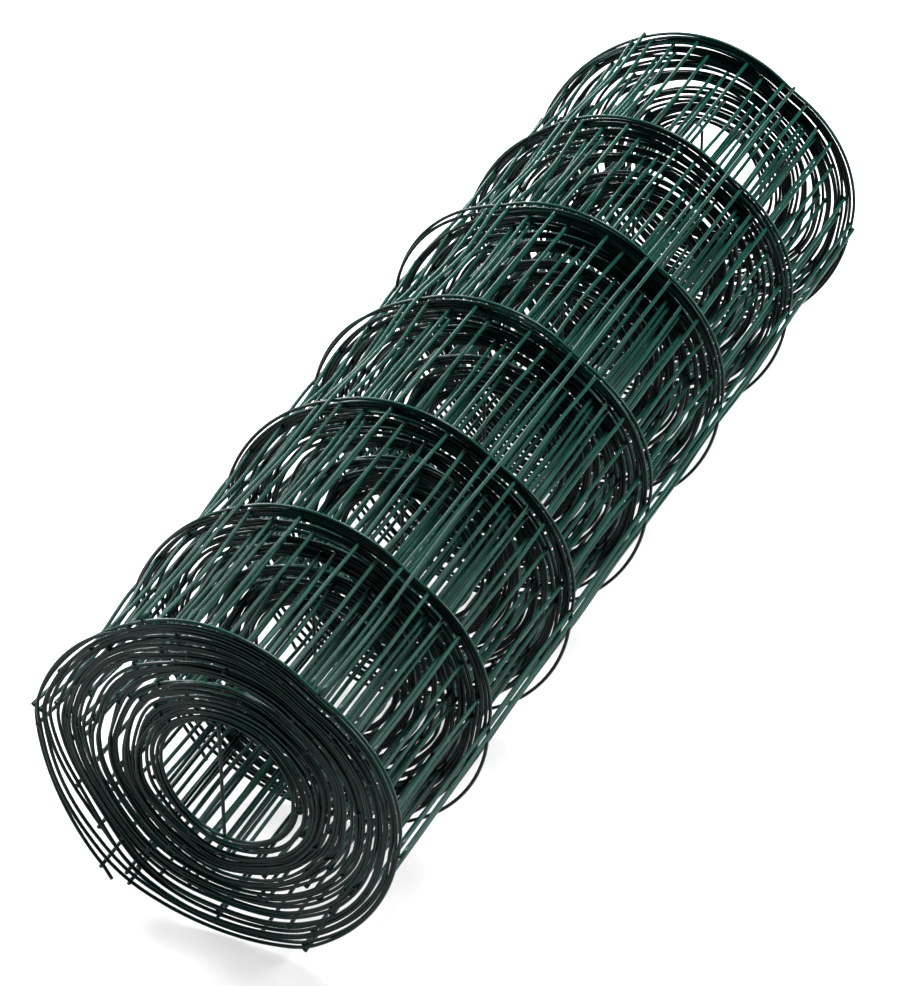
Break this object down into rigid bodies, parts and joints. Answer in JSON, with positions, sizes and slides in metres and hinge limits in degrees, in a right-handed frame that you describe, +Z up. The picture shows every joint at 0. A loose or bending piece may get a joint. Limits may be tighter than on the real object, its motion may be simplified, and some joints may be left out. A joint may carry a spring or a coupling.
{
  "type": "roll of wire fencing",
  "caption": "Roll of green plastic-coated welded wire fencing lying on its side, wound to an open tube with a clear bore, for enclosing gardens and beds.",
  "frame": {"origin": "on the floor, under the middle of the roll as it lies on its side", "axes": "+Y along the roll's axis, away from the viewer of its front end, +Z up"},
  "size_m": [0.2, 0.605, 0.1998],
  "materials": {
    "green_coat": "semi-gloss dark green plastic coat on steel wire"
  },
  "bodies": {
    "root": {"mesh_roll": "green_coat"}
  },
  "joints": []
}
